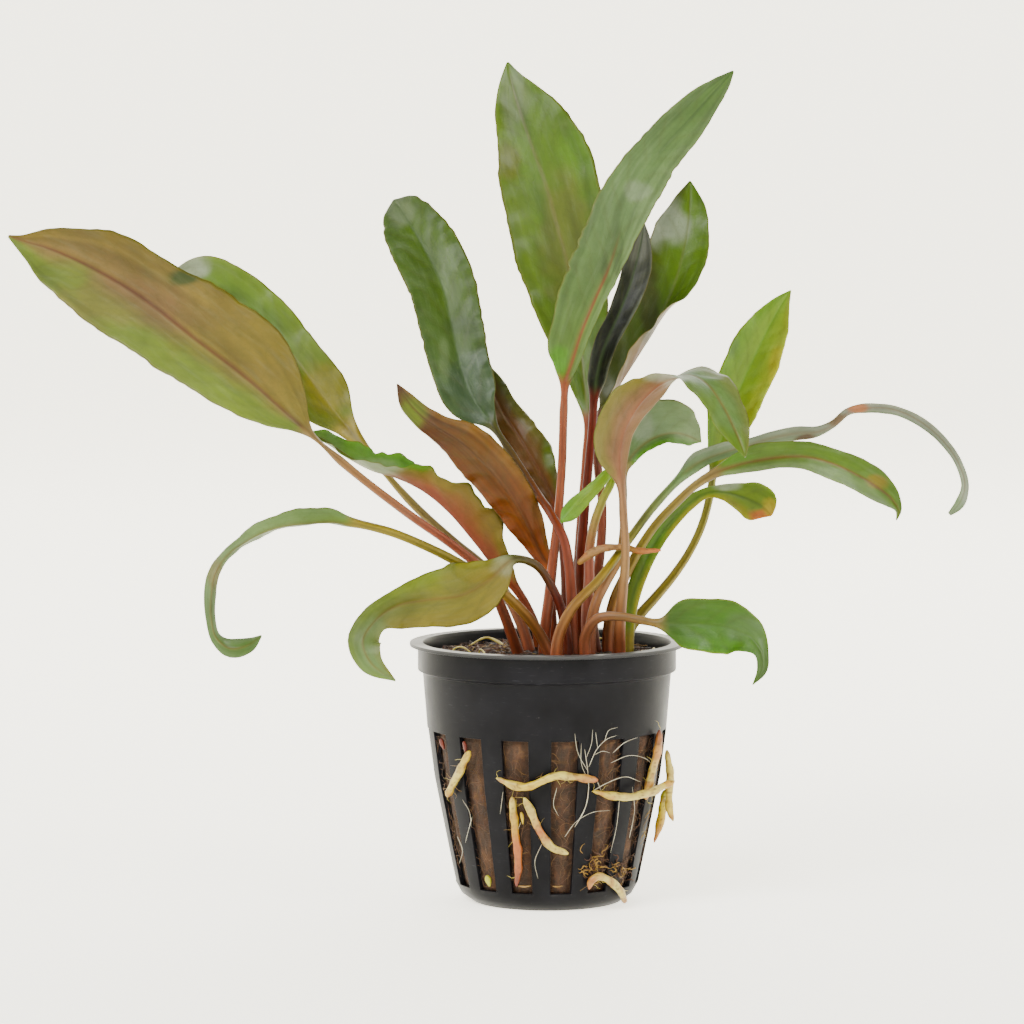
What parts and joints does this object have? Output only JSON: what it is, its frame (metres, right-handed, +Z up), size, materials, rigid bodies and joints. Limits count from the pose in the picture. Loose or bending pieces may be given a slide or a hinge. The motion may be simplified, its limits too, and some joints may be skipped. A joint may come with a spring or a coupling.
{
  "type": "potted aquarium plant",
  "caption": "Rosette of long-stalked arching leaves rooted in a slotted round net pot, with roots growing out through the slots.",
  "frame": {"origin": "centre of the pot's flat base, on the surface it stands on", "axes": "+Z up along the pot's axis, -Y towards the plant's front, +X to the right seen from the front"},
  "size_m": [0.1882, 0.0879, 0.167],
  "materials": {
    "pot_plastic": "black moulded plastic, semi-gloss",
    "growing_fibre": "wet brown mineral wool with peat, matt",
    "leaf_green": "green leaf, satin",
    "leaf_olive": "olive leaf, satin",
    "leaf_brown": "brown leaf, satin",
    "leaf_grey_green": "grey-green leaf, satin sheen",
    "leaf_bright": "fresh yellow-green leaf, satin",
    "leaf_dark": "near-black green leaf, satin",
    "leaf_pale": "pale withered leaf, satin",
    "root_cream": "cream root, smooth",
    "runner_brown": "tan dry runner, matt"
  },
  "bodies": {
    "root": {"growing_plug": "growing_fibre", "leaf_arching_front": "leaf_grey_green", "leaf_bright_right": "leaf_bright", "leaf_brown_left": "leaf_brown", "leaf_brown_rear": "leaf_brown", "leaf_brown_rib_right": "leaf_green", "leaf_curled_left": "leaf_pale", "leaf_dark_right": "leaf_dark", "leaf_drooping_left": "leaf_olive", "leaf_folded_left": "leaf_brown", "leaf_front_left": "leaf_olive", "leaf_green_left": "leaf_green", "leaf_low_right": "leaf_bright", "leaf_rear_left": "leaf_olive", "leaf_round_right": "leaf_green", "leaf_small_right": "leaf_grey_green", "leaf_tall_left": "leaf_green", "leaf_tall_right": "leaf_grey_green", "leaf_withered_right": "leaf_pale", "leaf_yellow_tip": "leaf_bright", "leaf_young_centre": "leaf_bright", "net_pot": "pot_plastic", "old_runner": "runner_brown", "root_front_level": "root_cream", "root_front_slanting": "root_cream", "root_front_upright": "root_cream", "root_left": "root_cream", "root_low_right": "root_cream", "root_right_level": "root_cream", "root_right_outer": "root_cream", "root_right_taper": "root_cream", "root_right_upright": "root_cream"}
  },
  "joints": []
}
